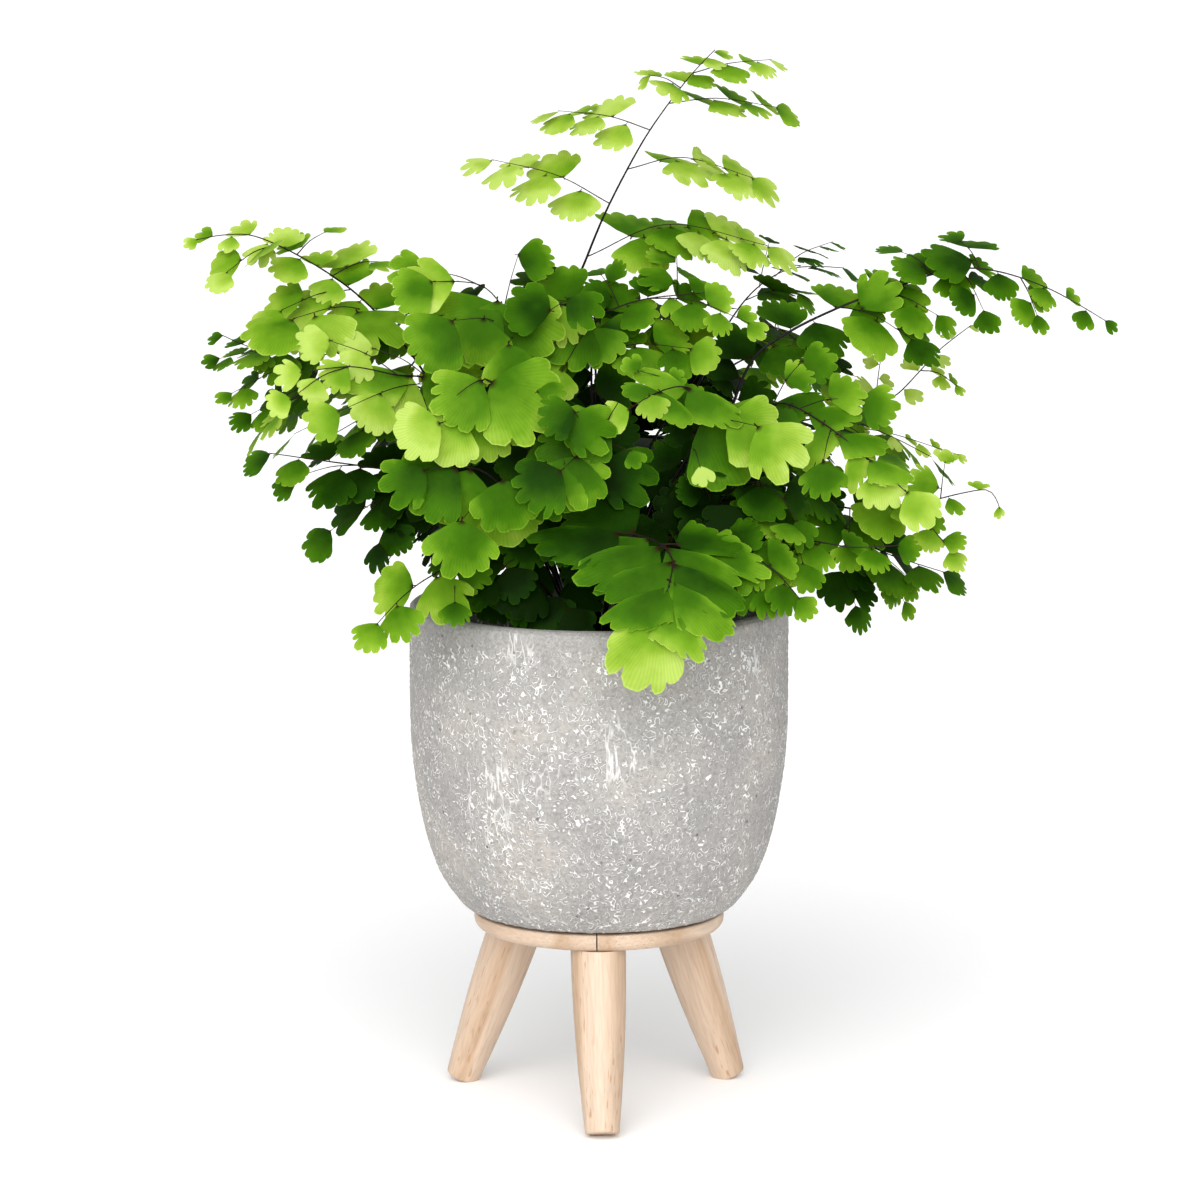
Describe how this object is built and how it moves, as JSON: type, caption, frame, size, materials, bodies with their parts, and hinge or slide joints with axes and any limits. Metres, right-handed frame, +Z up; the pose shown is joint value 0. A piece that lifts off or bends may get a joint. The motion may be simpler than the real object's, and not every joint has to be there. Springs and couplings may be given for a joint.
{
  "type": "potted maidenhair fern",
  "caption": "Maidenhair fern with arching sprays of fan-shaped leaflets, growing in a round-bottomed cement pot on a low pine stand.",
  "frame": {"origin": "on the floor under the middle of the whole plant's bounding box; the pot's axis is at x -23.5 mm, y -18.4 mm", "axes": "+Z up along the pot's axis, +Y away from the plant's front, +X to the right seen from the front"},
  "size_m": [0.3933, 0.2722, 0.4613],
  "materials": {
    "cement": "matte",
    "peat": "matte",
    "root": "matte",
    "pine": "satin",
    "zinc_plated_steel": "satin",
    "young_leaf": "satin",
    "mature_leaf": "satin"
  },
  "bodies": {
    "root": {"pot": "cement", "soil": "peat", "rootstock": "root", "screw_1": "zinc_plated_steel", "screw_2": "zinc_plated_steel", "screw_3": "zinc_plated_steel", "screw_4": "zinc_plated_steel", "screw_5": "zinc_plated_steel", "screw_6": "zinc_plated_steel", "ring_arc_1": "pine", "ring_arc_2": "pine", "ring_arc_3": "pine", "leg_1": "pine", "leg_2": "pine", "leg_3": "pine", "frond_top": "young_leaf", "frond_mid_arch": "mature_leaf", "frond_left_upper": "young_leaf", "frond_left_small": "mature_leaf", "frond_left_bright": "young_leaf", "frond_left_low": "mature_leaf", "frond_left_drop": "young_leaf", "frond_crown_left": "young_leaf", "frond_front_left": "young_leaf", "frond_front_low_left": "young_leaf", "frond_front_centre": "young_leaf", "frond_front_spray": "young_leaf", "frond_right_spray": "young_leaf", "frond_right_long": "young_leaf", "frond_right_airy": "young_leaf", "frond_right_low": "young_leaf", "frond_right_dark": "mature_leaf", "frond_right_mid": "young_leaf", "frond_front_fall": "young_leaf", "frond_front_right": "young_leaf", "frond_low_left": "mature_leaf", "frond_low_right": "mature_leaf", "frond_back_right": "mature_leaf", "frond_back_01": "mature_leaf", "frond_back_02": "young_leaf", "frond_back_03": "mature_leaf", "frond_back_04": "mature_leaf", "frond_back_05": "young_leaf", "frond_back_06": "mature_leaf", "frond_back_07": "mature_leaf", "frond_back_08": "young_leaf", "frond_back_09": "mature_leaf", "frond_back_10": "mature_leaf", "frond_back_11": "young_leaf", "frond_low_01": "mature_leaf", "frond_low_02": "mature_leaf", "frond_low_03": "mature_leaf", "frond_low_04": "mature_leaf", "frond_low_05": "mature_leaf", "frond_low_06": "mature_leaf", "frond_low_07": "mature_leaf", "frond_low_08": "mature_leaf"}
  },
  "joints": []
}
